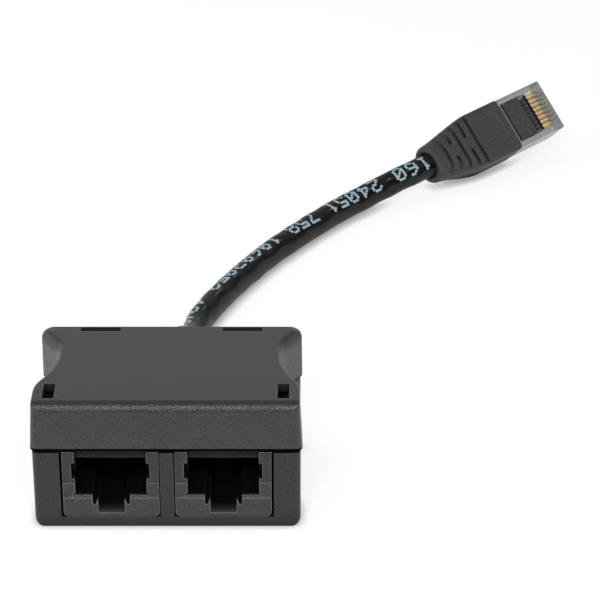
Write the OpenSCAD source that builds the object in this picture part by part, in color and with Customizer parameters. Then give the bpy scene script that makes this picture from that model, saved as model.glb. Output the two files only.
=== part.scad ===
// Splitter adapter: two modular jacks in a clamshell housing, with a short lead to one modular plug.
// Frame: origin under the centre of the housing, +Z up, jacks face -Y, the lead leaves at +Y.

/* [Housing] */
// Width over the lid's lower edge
body_w = 45; // [44.5:0.5:49]
// Depth from the front face to the back face
body_d = 27.7; // [26.7:0.5:30.2]
// Height of the closed housing
body_h = 23.35; // [22.85:0.5:27.35]
// Height of the base's upper edge
base_h = 14.2; // [14.2:0.05:14.85]
// Shadow gap between the base's edge and the lid's edge
seam_gap = 0.5; // [0.3:0.1:0.7]
// Wall thickness of both shells
wall = 1.5; // [1.3:0.1:1.6]
// Floor thickness under the jacks
floor_t = 1.85; // [1.55:0.1:2.15]
// Step from the lid's edge in to the base's sides
base_step = 0.3; // [0.1:0.05:0.4]
// Draft of the lid's sides, over its height
side_draft = 0.45; // [0.2:0.05:0.5]
// Draft of the lid's front and back, over its height
end_draft = 0.15; // [0:0.05:0.3]
// Radius of the roll along the lid's front upper edge
roll_r = 1.6; // [1:0.1:2]
// Radius of the lid's side upper edges
edge_r = 0.3; // [0.2:0.05:0.5]
// Radius that the upper edge grows to at the rear corners
rear_r = 1.9; // [1:0.1:2.2]
// Radius of the lid's back upper edge
back_r = 0.3; // [0.2:0.05:0.4]
// Radius of the base's lower side edges
foot_r = 1.7; // [1:0.1:2]
// Radius of the upright front corners
corner_r = 1.2; // [0.8:0.1:1.6]
// Radius of the upright back corners
back_corner_r = 1.6; // [1.2:0.1:2]

/* [Finger bays] */
// Depth of the finger bay in each side
bay_depth = 3.5; // [3:0.1:3.8]
// Distance from the front face to the start of the bay
bay_start = 5; // [4.6:0.1:5.4]
// Radius of the bay's convex start
bay_lead_r = 8; // [7:0.5:9]
// Radius of the bay's concave middle
bay_mid_r = 16.5; // [15.5:0.5:17.5]
// Radius of the bay's rear end
bay_end_r = 8; // [7:0.5:8.5]

/* [Lid slots and snaps] */
// Distance between the front slots' centres
front_slot_span = 38.7; // [38.2:0.1:39]
// Width of a front slot
front_slot_w = 1.9; // [1.7:0.1:2.1]
// Length of a front slot
front_slot_l = 4.9; // [4.5:0.1:5.2]
// Distance from the front face to the front slots
front_slot_in = 2.4; // [2.2:0.1:2.8]
// Distance between the back slots' centres
back_slot_span = 24.4; // [22:0.1:26]
// Width of a back slot
back_slot_w = 6.8; // [6:0.1:7.5]
// Length of a back slot from front to back
back_slot_d = 1.4; // [1.3:0.05:1.5]
// Thickness of the wall left behind a back slot
back_slot_in = 0.6; // [0.55:0.05:0.7]
// Thickness of a snap arm
snap_t = 1; // [0.8:0.1:1.1]
// Height of a snap hook
hook_h = 1.2; // [0.9:0.1:1.4]

/* [Jacks] */
// Distance between the two jacks' centres
jack_pitch = 18.68; // [18.6:0.02:18.8]
// Width of a jack's body
jack_w = 16; // [15.6:0.1:16.1]
// Depth of a jack's body
jack_d = 14.5; // [14:0.1:14.8]
// Distance from the housing's front face to the jack's face
jack_in = 0.25; // [0.1:0.05:0.5]
// Width of the plug opening
port_w = 11.9; // [11.8:0.05:12]
// Height of the plug opening
port_h = 6.8; // [6.7:0.05:6.9]
// Depth of the plug opening
port_d = 12.5; // [12:0.1:12.8]
// Height of the plug opening's shelves above the jack's underside
shelf_h = 4; // [3.9:0.1:4.2]
// Width of the latch channel
latch_w = 6.2; // [6:0.1:6.4]
// Depth of the latch channel under the shelves
latch_h = 1.6; // [1.4:0.1:1.7]
// Width of the ramp under the latch channel
ramp_w = 4.4; // [4:0.1:4.8]
// Gap between a jack and the base beside it
jack_gap = 0.3; // [0.2:0.05:0.4]
// Distance between neighbouring contacts
contact_pitch = 1.02; // [1:0.01:1.04]
// Diameter of a jack contact
contact_dia = 0.46; // [0.4:0.02:0.5]

/* [Board] */
// Thickness of the circuit board
board_t = 1.6; // [1.4:0.1:1.8]
// Width of the circuit board
board_w = 32.6; // [31.5:0.1:33]
// Length of the circuit board
board_l = 16.6; // [16.2:0.1:17]

/* [Lead] */
// Diameter of the cable
cable_dia = 5.2; // [5:0.1:5.2]
// Height of the cable's exit above the surface
exit_h = 14.45; // [14.35:0.05:14.65]
// Diameter of a conductor over its insulation
wire_dia = 0.88; // [0.8:0.02:0.94]
// Outer diameter of the tie that holds the cable inside
tie_dia = 8; // [7:0.1:8.6]
// Width of the tie
tie_w = 2.2; // [2:0.1:2.4]

/* [Plug and boot] */
// Width of the plug's body
plug_w = 11.68; // [11.6:0.02:11.7]
// Thickness of the plug's body
plug_t = 6.5; // [6.4:0.05:6.6]
// Length of the clear body ahead of the boot
plug_l = 13.65; // [13.4:0.05:14]
// Length of the boot
boot_l = 22; // [21.5:0.1:23]
// Width of the boot's front block
boot_w = 12; // [11.9:0.05:12.1]
// Thickness of the boot's front block
boot_t = 7.8; // [7.4:0.1:7.8]
// Length of the boot's front block
block_l = 9.6; // [9.4:0.1:9.8]
// Diameter of the boot's rear end
boot_rear_dia = 8.2; // [7.8:0.1:8.4]
// Distance between the boot's flex grooves
groove_pitch = 2.2; // [2:0.05:2.25]
// Width of a flex groove
groove_w = 0.75; // [0.6:0.05:0.9]
// Depth of a flex groove
groove_d = 0.9; // [0.6:0.05:1]

/* [Hidden] */

$fn = 48;
cut = 0.5;                 // how far a cutter runs past the face that it opens
seat = 0.1;                // clearance round a piece that drops into a pocket
arc_steps = 7;             // straight pieces in each arc of the outline
roll_steps = 6;            // straight pieces in each rolled edge
least_r = 0.5;             // least radius of an outline corner that an edge has eaten away

half_w = body_w / 2;
front_y = -body_d / 2;
back_y = body_d / 2;
lid_z = base_h + seam_gap;
lid_depth = body_h - lid_z;
top_t = wall;
lip_t = 0.7;               // thickness of the raised lip that the lid sits on
foot_front_r = 0.25;       // radius of the base's lower front edge

// The bay's outline is three arcs that meet in line: a lead, a middle and a rear end
lead_angle = acos(1 - bay_depth / (bay_lead_r + bay_mid_r));
lead_y = front_y + bay_start;
waist_x = half_w - bay_depth;
waist_y = lead_y + (bay_lead_r + bay_mid_r) * sin(lead_angle);
end_cx = waist_x + bay_end_r;
rear_cx = half_w - back_corner_r;
rear_cy = back_y - back_corner_r;
end_dx = end_cx - rear_cx;
end_dy = rear_cy - waist_y;
end_angle = atan2(end_dy, end_dx) - acos((bay_end_r + back_corner_r) / norm([end_dx, end_dy]));

board_z = base_h;
board_top = board_z + board_t;
board_y = front_y + wall + 0.5;
board_back = board_y + board_l;

jack_face = front_y + jack_in;
jack_x = jack_pitch / 2;
jack_top = base_h;
shelf_z = floor_t + shelf_h;
port_top = shelf_z + port_h;
channel_z = shelf_z - latch_h;
ramp_z = floor_t + 0.75;
strip_in = 1.2;            // how far the strip over the opening is set back
strip_t = 1.5;             // thickness of that strip
jack_corner_r = 1;
pin_rows = [11, 13.5];     // depth of the two rows of pins behind the jack's face
comb_y = 3.65;             // front edge of the contact carrier behind the jack's face
tip_y = 11.2;              // where a contact's free end lies
tip_z = port_top - 1.95;

cable_r = cable_dia / 2;
cable_hole_r = cable_r + seat;
cable_end = back_y - 4.9;  // inner end of the cable's jacket
tie_back = back_y - wall - base_step - seat;

// The plug lies on the surface, turned and rolled about its own length
plug_pos = [65.7, 133.8, 7.5];
plug_heading = 41;
plug_pitch = 5;
plug_roll = 46;
plug_dir = [cos(plug_heading) * cos(plug_pitch), sin(plug_heading) * cos(plug_pitch), sin(plug_pitch)];
spigot_l = 6;              // the part of the plug that the boot holds
spigot_w = 9.6;
spigot_t = 5.6;
jacket_end = spigot_l + 0.5;

// The cable leaves straight, drops to the surface, lies in one slow bend and rises into the boot
route = [
  [0, 9, 14.45], [0, 14, 14.45], [0, 20, 14.45], [0.1, 25, 13.6], [0.3, 30, 11.7], [0.7, 35, 9.1],
  [1.2, 40, 6.2], [1.7, 45, 4.1], [2.3, 50, 2.9], [3.1, 55, 2.6], [5.3, 61.3, 2.6], [8.3, 68.4, 2.6],
  [11.9, 75.8, 2.6], [15.7, 82.8, 2.6], [20, 89.5, 2.6], [25, 96.7, 2.6], [30.2, 103.4, 2.8],
  [34.1, 107.2, 3.2], [38.2, 110.7, 3.9], [43.2, 114.6, 4.8]
];
tail_steps = [26.5, 22, 17, 12, jacket_end];
cable_path = concat(route, [for (k = tail_steps) plug_pos - k * plug_dir]);

function mix(a, b, u) = a + (b - a) * u;
function eased(u) = u * u * (3 - 2 * u);
function mirrored(p) = concat([-p[0]], [for (k = [1 : len(p) - 1]) p[k]]);
function reversed(list) = [for (k = [len(list) - 1 : -1 : 0]) list[k]];

// Half of the outline at one level: insets and heights at the front, the side, the rear corner and the back
function half_ring(f, s, r, b, zf, zs, zr, zb) =
  let (
    front_rho = max(corner_r - min(f, s), least_r),
    back_rho = max(back_corner_r - min(r, b), least_r),
    back_cy = rear_cy - (b + back_rho - back_corner_r),
    back_cx = rear_cx + ((back_cy - rear_cy) * sin(end_angle) - (r + back_rho - back_corner_r)) / cos(end_angle)
  )
  concat(
    [for (k = [0 : arc_steps]) let (t = -90 + 90 * k / arc_steps)
      [half_w - s + front_rho * (cos(t) - 1), front_y + f + front_rho * (1 + sin(t)),
       mix(zf, zs, k / arc_steps)]],
    [for (k = [0 : arc_steps]) let (t = lead_angle * k / arc_steps)
      [half_w - bay_lead_r + (bay_lead_r - s) * cos(t), lead_y + (bay_lead_r - s) * sin(t), zs]],
    [for (k = [1 : arc_steps]) let (t = lead_angle * (1 - k / arc_steps))
      [waist_x + bay_mid_r - (bay_mid_r + s) * cos(t), waist_y - (bay_mid_r + s) * sin(t), zs]],
    [for (k = [1 : arc_steps]) let (u = k / arc_steps, t = end_angle * u, i = mix(s, r, eased(u)))
      [end_cx - (bay_end_r + i) * cos(t), waist_y + (bay_end_r + i) * sin(t), mix(zs, zr, eased(u))]],
    [for (k = [0 : arc_steps]) let (t = -end_angle + (90 + end_angle) * k / arc_steps)
      [back_cx + back_rho * cos(t), back_cy + back_rho * sin(t), mix(zr, zb, k / arc_steps)]]
  );

function ring(f, s, r, b, zf, zs, zr, zb) =
  let (half = half_ring(f, s, r, b, zf, zs, zr, zb))
  concat(half, reversed([for (p = half) mirrored(p)]));

function level(inset, z) = ring(inset, inset, inset, inset, z, z, z, z);
function flat(points) = [for (p = points) [p[0], p[1]]];

// A closed solid through rings of equal length, from the lowest to the highest. Its ends are laid in
// strips from side to side, as the outline is hollow at the waist.
module skin(rings) {
  n = len(rings[0]);
  last = (len(rings) - 1) * n;
  points = [for (r = rings) for (p = r) p];
  sides = [for (j = [0 : len(rings) - 2]) for (i = [0 : n - 1])
    let (a = j * n + i, b = j * n + (i + 1) % n)
    for (face = [[a, a + n, b + n], [a, b + n, b]]) face];
  bottom = [for (i = [0 : n / 2 - 2]) for (face = [[i, i + 1, n - 2 - i], [i, n - 2 - i, n - 1 - i]]) face];
  top = [for (face = bottom) [last + face[2], last + face[1], last + face[0]]];
  polyhedron(points, concat(bottom, sides, top), convexity = 6);
}

// Rings round a path, each turned square to the path's own direction
function along(path, k) =
  let (a = path[max(k - 1, 0)], b = path[min(k + 1, len(path) - 1)])
  (b - a) / norm(b - a);
function ring_at(centre, dir, radius, sides) =
  let (
    helper = abs(dir[2]) > 0.9 ? [0, 1, 0] : [0, 0, 1],
    right = cross(dir, helper) / norm(cross(dir, helper)),
    up = cross(right, dir)
  )
  [for (i = [0 : sides - 1]) let (t = 360 * i / sides) centre + radius * (cos(t) * right + sin(t) * up)];
module tube_along(path, radius, sides) {
  skin([for (k = [0 : len(path) - 1]) ring_at(path[k], along(path, k), radius, sides)]);
}

module box_between(low, high) {
  translate(low) cube(high - low);
}

// A section drawn in Y and Z, carried from -x to +x
module carried_across(half_width) {
  translate([-half_width, 0, 0]) rotate([90, 0, 90]) linear_extrude(2 * half_width) children();
}

// A section drawn in X and Z, carried from y = 0 backwards
module carried_back(length) {
  translate([0, length, 0]) rotate([90, 0, 0]) linear_extrude(length) children();
}

// Shells

module lid_skin() {
  function roll(t) = 1 - cos(t);
  function drop(t) = 1 - sin(t);
  skin(concat(
    [level(0, lid_z)],
    [for (k = [0 : roll_steps]) let (t = 90 * k / roll_steps)
      ring(
        end_draft + roll_r * roll(t), side_draft + edge_r * roll(t),
        rear_r * roll(t), end_draft + back_r * roll(t),
        body_h - roll_r * drop(t), body_h - edge_r * drop(t),
        body_h - rear_r * drop(t), body_h - back_r * drop(t)
      )]
  ));
}

module base_skin() {
  function roll(t) = 1 - sin(t);
  function rise(t) = 1 - cos(t);
  end_step = base_step / 3;
  skin(concat(
    [for (k = [0 : roll_steps]) let (t = 90 * k / roll_steps)
      ring(
        end_step + foot_front_r * roll(t), base_step + foot_r * roll(t),
        base_step + foot_r * roll(t), end_step + foot_r * roll(t),
        foot_front_r * rise(t), foot_r * rise(t), foot_r * rise(t), foot_r * rise(t)
      )],
    [ring(end_step, base_step, base_step, end_step, base_h, base_h, base_h, base_h)]
  ));
}

module room(inset, low, high) {
  translate([0, 0, low]) linear_extrude(high - low) polygon(flat(level(inset, 0)));
}

snap_x = front_slot_span / 2 - front_slot_w / 2 + seat;
snap_y0 = front_y + front_slot_in + 0.2;
snap_y1 = front_y + front_slot_in + front_slot_l - 0.2;
ledge_z = lid_z + 2.6;
ledge_t = 1.2;
hook_z = ledge_z + seat;
window_z = body_h - 3.4;
tab_y1 = back_y - wall - seat;
hook_reach = 0.95;
back_hook_reach = wall - back_slot_in - seat;

module front_snaps() {
  for (side = [-1, 1]) mirror([side < 0 ? 1 : 0, 0, 0]) {
    box_between([snap_x - snap_t, snap_y0, floor_t - cut], [snap_x, snap_y1, hook_z + hook_h]);
    translate([0, snap_y0, 0]) carried_back(snap_y1 - snap_y0)
      polygon([[snap_x - snap_t, hook_z], [snap_x + hook_reach, hook_z],
        [snap_x + hook_reach, hook_z + hook_h / 3], [snap_x, hook_z + hook_h], [snap_x - snap_t, hook_z + hook_h]]);
  }
}

module back_snaps() {
  for (side = [-1, 1]) translate([side * back_slot_span / 2, 0, 0])
    carried_across(back_slot_w / 2 - 3 * seat)
      polygon([[tab_y1 - snap_t, floor_t - cut], [tab_y1, floor_t - cut], [tab_y1, window_z + seat],
        [tab_y1 + back_hook_reach, window_z + seat], [tab_y1 + back_hook_reach, window_z + seat + hook_h / 3],
        [tab_y1, window_z + seat + hook_h], [tab_y1 - snap_t, window_z + seat + hook_h]]);
}

module cable_hole() {
  translate([0, back_y + cut, exit_h]) rotate([90, 0, 0]) cylinder(r = cable_hole_r, h = 4 * wall);
}

module jack_pocket(side) {
  outer = jack_x + jack_w / 2 + jack_gap + seat;
  inner = jack_x - jack_w / 2 - jack_gap + seat;
  mirror([side < 0 ? 1 : 0, 0, 0])
    box_between([inner, front_y - cut, floor_t], [outer, jack_face + jack_d + seat, base_h + cut]);
}

module base() {
  stop_z = 8;
  stop_t = 1.2;
  color([0.25, 0.25, 0.25]) union() {
    difference() {
      union() {
        base_skin();
        // Raised lip that the lid's edge sits on, left out over the jacks
        difference() {
          room(base_step + wall - lip_t, base_h - wall, lid_z);
          box_between([-half_w, front_y - cut, base_h - wall - cut], [half_w, front_y + wall + cut, lid_z + cut]);
        }
      }
      room(base_step + wall, floor_t, base_h + seam_gap + cut);
      for (side = [-1, 1]) jack_pocket(side);
      cable_hole();
    }
    // Stops behind the jacks, and the arms that hold the lid
    for (side = [-1, 1]) translate([side * jack_x, jack_face + jack_d + seat, 0])
      box_between([-jack_w / 3, 0, floor_t - cut], [jack_w / 3, stop_t, stop_z]);
    front_snaps();
    back_snaps();
  }
}

module lid() {
  post_r = 1.25;
  color([0.29, 0.29, 0.29]) union() {
    difference() {
      lid_skin();
      room(wall, lid_z - cut, body_h - top_t);
      for (side = [-1, 1]) {
        translate([side * front_slot_span / 2, front_y + front_slot_in, ledge_z])
          box_between([-front_slot_w / 2, 0, 0], [front_slot_w / 2, front_slot_l, lid_depth]);
        translate([side * back_slot_span / 2, back_y - back_slot_in - back_slot_d, window_z])
          box_between([-back_slot_w / 2, 0, 0], [back_slot_w / 2, back_slot_d, lid_depth]);
      }
      cable_hole();
    }
    // Ledges under the front slots, tied to the side walls
    intersection() {
      room(wall / 2, ledge_z - ledge_t, ledge_z);
      for (side = [-1, 1]) mirror([side < 0 ? 1 : 0, 0, 0])
        box_between([snap_x + seat, front_y + front_slot_in, ledge_z - ledge_t],
          [half_w, front_y + front_slot_in + front_slot_l, ledge_z]);
    }
    // Posts that hold the board down on the jacks
    for (side = [-1, 1]) for (y = [board_y + 2, board_back - 3])
      translate([side * (board_w / 2 - 2.6), y, board_top]) cylinder(r = post_r, h = body_h - top_t - board_top + cut);
  }
}

// Board and jacks

function contact_x(i) = (i - 4.5) * contact_pitch;
function pin_y(i) = pin_rows[i % 2];

module circuit_board() {
  hole_r = contact_dia / 2 + 0.15;
  color([0.1, 0.35, 0.2]) difference() {
    box_between([-board_w / 2, board_y, board_z], [board_w / 2, board_back, board_top]);
    for (side = [-1, 1]) for (i = [1 : 8])
      translate([side * jack_x + contact_x(i), jack_face + pin_y(i), board_z - cut])
        cylinder(r = hole_r, h = board_t + 2 * cut);
  }
}

module at_jack(side) {
  translate([side * jack_x, jack_face, 0]) children();
}

module jack_body() {
  half = jack_w / 2;
  port = port_w / 2;
  chamfer = 0.5;
  lip_w = 0.35;
  lip_h = 0.8;
  ridge = ramp_z + 0.95;
  sump = floor_t + 0.6;
  cheek_steps = [[shelf_z - 0.35, 0.12], [shelf_z + 2.4, 0.24]];
  difference() {
    carried_back(jack_d) union() {
      translate([-half, floor_t + jack_corner_r]) square([jack_w, jack_top - floor_t - jack_corner_r]);
      translate([jack_corner_r - half, floor_t]) square([jack_w - 2 * jack_corner_r, jack_corner_r + cut]);
      for (side = [-1, 1]) translate([side * (half - jack_corner_r), floor_t + jack_corner_r]) circle(jack_corner_r);
    }
    // Plug opening, right through for the contact carrier behind it
    box_between([-port, -cut, shelf_z], [port, jack_d + cut, port_top]);
    // Latch channel, with a ramp at its mouth and a deeper floor behind the ramp
    box_between([-latch_w / 2, -cut, channel_z], [latch_w / 2, port_d, shelf_z + cut]);
    carried_across(ramp_w / 2) polygon([[-cut, ramp_z], [0, ramp_z], [1.4, ridge], [1.9, ridge],
      [2.3, sump], [port_d, sump], [port_d, channel_z + cut], [-cut, channel_z + cut]]);
    // The strip over the opening is set back, and the roof behind it is open for the carrier
    box_between([-port, -cut, port_top - cut], [port, strip_in, jack_top + cut]);
    box_between([-port, strip_in + strip_t, port_top - cut], [port, jack_d + cut, jack_top + cut]);
    // Notches in the cheeks
    for (side = [-1, 1]) mirror([side < 0 ? 1 : 0, 0, 0])
      box_between([port - cut, -cut, port_top - 3.6], [port + 0.55, strip_in + 1.6, port_top - 0.6]);
    // Low steps in the faces of the cheeks
    for (step = cheek_steps)
      box_between([-half - cut, -cut, step[0]], [half + cut, step[1], jack_top + cut]);
    // Lead-in on the front edges of the shelves
    carried_across(port + 0.35) polygon([[-cut, shelf_z - chamfer - cut], [-cut, shelf_z + cut],
      [chamfer + cut, shelf_z + cut]]);
  }
  // Small lips that stop the latch at the foot of the channel
  for (side = [-1, 1]) mirror([side < 0 ? 1 : 0, 0, 0]) translate([ramp_w / 2, 0, 0]) {
    carried_back(1.1) polygon([[0, channel_z - 0.1], [lip_w + 0.25, channel_z - 0.1], [lip_w, channel_z + 0.15],
      [lip_w / 2, channel_z + lip_h], [0, channel_z + lip_h]]);
  }
}

module jack_insert() {
  port = port_w / 2 - seat;
  groove = contact_dia + 0.16;
  difference() {
    union() {
      box_between([-port, comb_y, port_top + seat], [port, jack_d - seat, jack_top - seat]);
      box_between([-port, port_d + seat, shelf_z + seat], [port, jack_d - seat, port_top + 2 * seat]);
    }
    for (i = [1 : 8]) translate([contact_x(i) - groove / 2, 0, 0])
      box_between([0, 0, jack_top - 0.75], [groove, pin_y(i) + groove / 2, jack_top + cut]);
  }
}

// A wire contact: pin through the board, forward in its groove, down and back under the carrier
module jack_contact(i) {
  run_z = jack_top - 0.42;
  front = comb_y - contact_dia / 2 - 0.12;
  tube_along([for (p = [
    [pin_y(i), board_top + 0.9], [pin_y(i), board_z], [pin_y(i), run_z + 0.12], [pin_y(i) - 0.12, run_z],
    [front + 0.2, run_z], [front, run_z - 0.2], [front, port_top - 0.35], [front + 0.25, port_top - 0.6],
    [tip_y, tip_z], [tip_y + 0.35, tip_z - 0.02]
  ]) [contact_x(i), p[0], p[1]]], contact_dia / 2, 8);
}

module left_jack_body() {
  color([0.28, 0.28, 0.28]) at_jack(-1) jack_body();
}

module right_jack_body() {
  color([0.28, 0.28, 0.28]) at_jack(1) jack_body();
}

module left_jack_insert() {
  color([0.2, 0.2, 0.2]) at_jack(-1) jack_insert();
}

module right_jack_insert() {
  color([0.2, 0.2, 0.2]) at_jack(1) jack_insert();
}

module left_contact(i) {
  color([0.85, 0.68, 0.3]) at_jack(-1) jack_contact(i);
}

module right_contact(i) {
  color([0.85, 0.68, 0.3]) at_jack(1) jack_contact(i);
}

// Lead

wire_colors = [
  [0.95, 0.75, 0.5], [0.95, 0.5, 0.1], [0.7, 0.9, 0.6], [0.15, 0.35, 0.8],
  [0.6, 0.75, 0.95], [0.1, 0.55, 0.2], [0.75, 0.6, 0.5], [0.45, 0.25, 0.12]
];
bundle_pitch = 0.64 * wire_dia;    // half of the space between wires of one row where the jacket ends
bundle_rise = 0.68 * wire_dia;     // half of the height between the two rows there
function row_side(i) = i % 2 == 0 ? 1 : -1;

module board_wire(i) {
  pad_pitch = 1.9;
  start = cable_end - 0.1;
  lie_z = board_top + wire_dia / 2 + 0.03;
  x0 = (i - 4.5) * bundle_pitch;
  x1 = (i - 4.5) * pad_pitch;
  color(wire_colors[i - 1]) tube_along([
    [x0, start, exit_h + row_side(i) * bundle_rise],
    [x0, start - 0.3, exit_h + row_side(i) * bundle_rise],
    [mix(x0, x1, 0.6), board_back + seat, lie_z + 0.15],
    [x1, board_back - 1.2, lie_z],
    [x1, board_back - 2.6, lie_z]
  ], wire_dia / 2, 8);
}

module cable_tie() {
  color([0.12, 0.12, 0.12]) {
    translate([0, tie_back, exit_h]) rotate([90, 0, 0]) difference() {
      cylinder(d = tie_dia, h = tie_w);
      translate([0, 0, -cut]) cylinder(r = cable_r + 0.05, h = tie_w + 2 * cut);
    }
    translate([0, tie_back - tie_w, exit_h - tie_dia / 2 + 0.3])
      box_between([-1.6, 0, -1.8], [1.6, tie_w, 0]);
  }
}

module cable() {
  color([0.08, 0.08, 0.09]) tube_along(cable_path, cable_r, 12);
}

module at_plug() {
  translate(plug_pos) rotate([plug_roll, -plug_pitch, plug_heading]) children();
}

// The boot's section at x is a rounded rectangle that turns round and narrower behind the block
function boot_half(x) =
  let (u = eased(min(max((-x - block_l) / (boot_l - block_l), 0), 1)))
  [mix(boot_w / 2, boot_rear_dia / 2, mix(u, max((-x - block_l) / (boot_l - block_l), 0), 0.5)),
   mix(boot_t / 2, boot_rear_dia / 2, u), mix(0.9, boot_rear_dia / 2 - 0.01, u)];
function boot_ring(x, shrink) =
  let (h = boot_half(x), w = h[0] - shrink, t = h[1] - shrink, r = min(h[2], w, t))
  [for (q = [0 : 3]) for (k = [0 : 5]) let (a = 90 * q + 18 * k)
    [x, (q == 0 || q == 3 ? w - r : r - w) + r * cos(a), (q < 2 ? t - r : r - t) + r * sin(a)]];

module boot() {
  steps = 9;
  rear_steps = 3;
  round_in = 0.7;
  panel_l = 5.2;
  panel_w = 6.8;
  panel_in = 2;
  grooves = [for (g = [0 : 4]) -block_l - groove_w / 2 - g * groove_pitch];
  bridge = 1.35;
  color([0.22, 0.22, 0.22]) at_plug() difference() {
    skin(concat(
      [for (k = [0 : rear_steps]) let (t = 90 * k / rear_steps)
        boot_ring(-boot_l + round_in * (1 - sin(t)), round_in * (1 - sin(t)))],
      [for (k = [1 : steps]) boot_ring(mix(-boot_l + round_in, -block_l, k / steps), 0)],
      [boot_ring(-0.2, 0), boot_ring(0, 0.2)]
    ));
    // Bore for the cable, and the pocket that holds the plug's rear end
    translate([-boot_l - cut, 0, 0]) rotate([0, 90, 0]) cylinder(r = cable_hole_r, h = boot_l);
    box_between([-spigot_l - 0.6, -spigot_w / 2 - seat, -spigot_t / 2 - seat],
      [cut, spigot_w / 2 + seat, spigot_t / 2 + seat]);
    // Flex grooves in both broad faces: whole ones in turn with ones that leave a bridge
    for (g = [0 : 4]) let (h = boot_half(grooves[g]), reach = h[0] - 0.55, top = h[1] - groove_d) {
      for (face = [0, 1]) mirror([0, 0, face]) {
        if (g % 2 == 0)
          box_between([grooves[g] - groove_w / 2, -reach, top], [grooves[g] + groove_w / 2, reach, top + 3]);
        else for (side = [0, 1]) mirror([0, side, 0])
          box_between([grooves[g] - groove_w / 2, bridge, top], [grooves[g] + groove_w / 2, reach, top + 3]);
      }
    }
    // Shallow grip panel
    box_between([-panel_in - panel_l, -panel_w / 2, boot_t / 2 - 0.15], [-panel_in, panel_w / 2, boot_t / 2 + cut]);
  }
}

slot_x = 8.1;              // rear end of the contact slots
window_x = 0.9;            // rear end of the strain relief window
window_l = 6.4;
window_w = 9.3;
window_floor = 0.5;

module plug_latch() {
  lever_w = 5.8;
  foot = plug_l - 1.6;
  bend = foot - 6;
  // Hinged at the nose, the lever slopes back and outwards
  rotate([90, 0, 0]) translate([0, 0, -lever_w / 2]) linear_extrude(lever_w)
    polygon([[foot + 0.9, -plug_t / 2 + 0.3], [foot + 0.9, -plug_t / 2 - 0.2], [foot + 0.2, -plug_t / 2 - 0.95],
      [bend, -plug_t / 2 - 2.1], [0.6, -plug_t / 2 - 3.1], [0.6, -plug_t / 2 - 2.2],
      [bend, -plug_t / 2 - 1.2], [foot - 1, -plug_t / 2 - 0.1], [foot - 1, -plug_t / 2 + 0.3]]);
  // Shoulders that catch in a jack
  translate([bend - 0.3, 0, -plug_t / 2 - 2.15])
    box_between([0, -lever_w / 2 - 0.25, 0], [1.2, lever_w / 2 + 0.25, 1]);
}

module plug_body() {
  nose = 0.45;
  color([0.85, 0.88, 0.9, 0.35]) at_plug() difference() {
    union() {
      intersection() {
        translate([0, 0, -plug_t / 2]) linear_extrude(plug_t) polygon([[0, -plug_w / 2], [plug_l - nose, -plug_w / 2],
          [plug_l, -plug_w / 2 + nose], [plug_l, plug_w / 2 - nose], [plug_l - nose, plug_w / 2], [0, plug_w / 2]]);
        rotate([90, 0, 0]) translate([0, 0, -plug_w / 2]) linear_extrude(plug_w)
          polygon([[0, -plug_t / 2], [plug_l - nose, -plug_t / 2], [plug_l, -plug_t / 2 + nose],
            [plug_l, plug_t / 2 - nose], [plug_l - nose, plug_t / 2], [0, plug_t / 2]]);
      }
      box_between([-spigot_l, -spigot_w / 2, -spigot_t / 2], [cut, spigot_w / 2, spigot_t / 2]);
      plug_latch();
    }
    // Room where the wires spread, then the flat channel that they lie in
    box_between([-spigot_l - cut, -4.3, -1.85], [0.3, 4.3, 0.45]);
    box_between([0, -4.2, -1.25], [plug_l - 0.9, 4.2, -0.1]);
    // Strain relief window
    box_between([window_x, -window_w / 2, window_floor], [window_x + window_l, window_w / 2, plug_t]);
    // Contact slots, open to the face
    for (i = [1 : 8]) translate([0, contact_x(i), 0])
      box_between([slot_x, -0.28, -0.2], [plug_l - 0.75, 0.28, plug_t]);
  }
}

module strain_bar() {
  bar_x = window_x + 0.8;
  bar_l = 4.6;
  bar_w = 8.9;
  bar_top = 2.75;
  color([0.15, 0.15, 0.15]) at_plug() difference() {
    box_between([bar_x, -bar_w / 2, window_floor], [bar_x + bar_l, bar_w / 2, bar_top]);
    translate([bar_x + 0.7, 1.1, bar_top - 0.15]) cylinder(r = 0.35, h = 1);
  }
}

module plug_contact(i) {
  blade_t = 0.36;
  x0 = slot_x + 0.2;
  x1 = plug_l - 1;
  color([0.95, 0.75, 0.3]) at_plug() translate([0, contact_x(i) + blade_t / 2, 0]) rotate([90, 0, 0])
    linear_extrude(blade_t) difference() {
      union() {
        polygon([[x0, -0.12], [x1, -0.12], [x1, 1.7], [x0 + 1.9, 2.75], [x0 + 0.4, 2.75], [x0, 2.35]]);
        translate([x0 + 0.4, 2.35]) circle(0.4);
      }
      translate([mix(x0, x1, 0.6), -0.12]) circle(0.5);
    }
}

module plug_wire(i) {
  z1 = -0.7;
  y0 = (i - 4.5) * bundle_pitch;
  y1 = contact_x(i);
  color(wire_colors[i - 1]) at_plug() tube_along([
    [-spigot_l - 0.4, y0, z1 + row_side(i) * bundle_rise],
    [-spigot_l + 1, y0, z1 + row_side(i) * bundle_rise],
    [-3, mix(y0, y1, 0.5), z1 + row_side(i) * bundle_rise * 0.6],
    [-0.7, y1, z1], [4, y1, z1], [plug_l - 1.2, y1, z1]
  ], wire_dia / 2, 8);
}

base();
lid();
circuit_board();
left_jack_body();
right_jack_body();
left_jack_insert();
right_jack_insert();
for (i = [1 : 8]) {
  left_contact(i);
  right_contact(i);
  board_wire(i);
  plug_contact(i);
  plug_wire(i);
}
cable_tie();
cable();
boot();
plug_body();
strain_bar();
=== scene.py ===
"""Looks of a network splitter adapter: a dark moulded housing with two modular jacks in its front, and a short black
cable that lies on the ground and ends in a clear plug with a ribbed boot.

The frame is the one of the solids, in metres: the housing stands on the ground at the origin, its jacks face -Y and
the cable leaves it towards +Y. Surfaces made here are worked out in millimetres and scaled when they become meshes."""

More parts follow.
